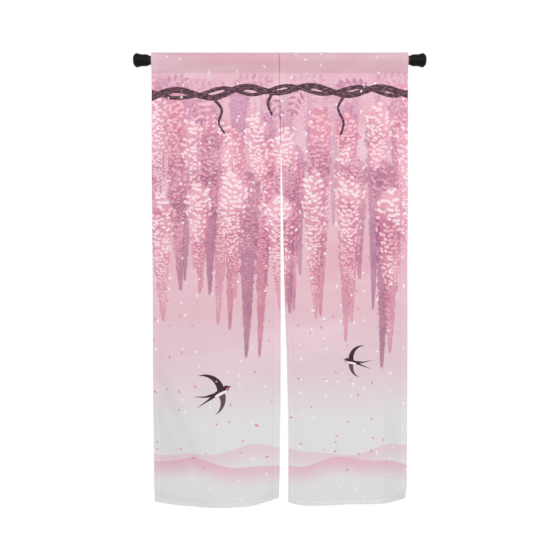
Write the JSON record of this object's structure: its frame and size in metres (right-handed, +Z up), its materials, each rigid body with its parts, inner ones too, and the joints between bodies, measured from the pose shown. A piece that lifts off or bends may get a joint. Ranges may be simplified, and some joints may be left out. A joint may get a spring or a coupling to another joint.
{
  "type": "noren curtain and rod",
  "caption": "Doorway curtain of printed cloth panels, parted by a slit below a seamed top, with a rod pocket, on a plain tension rod with flared end caps.",
  "frame": {"origin": "middle of the left end cap's flat face, which presses on the left side of the doorway", "axes": "+X along the rod to the right cap, +Z up, and the cloth's printed front faces -Y"},
  "size_m": [0.968, 0.0829, 1.5076],
  "materials": {
    "cloth": "printed plain-woven polyester and linen look, matt",
    "rod": "black semi-gloss paint",
    "cap": "black moulded rubber, satin"
  },
  "bodies": {
    "root": {"panel_left": "cloth", "panel_right": "cloth", "rod": "rod", "cap_left": "cap", "cap_right": "cap"}
  },
  "joints": []
}
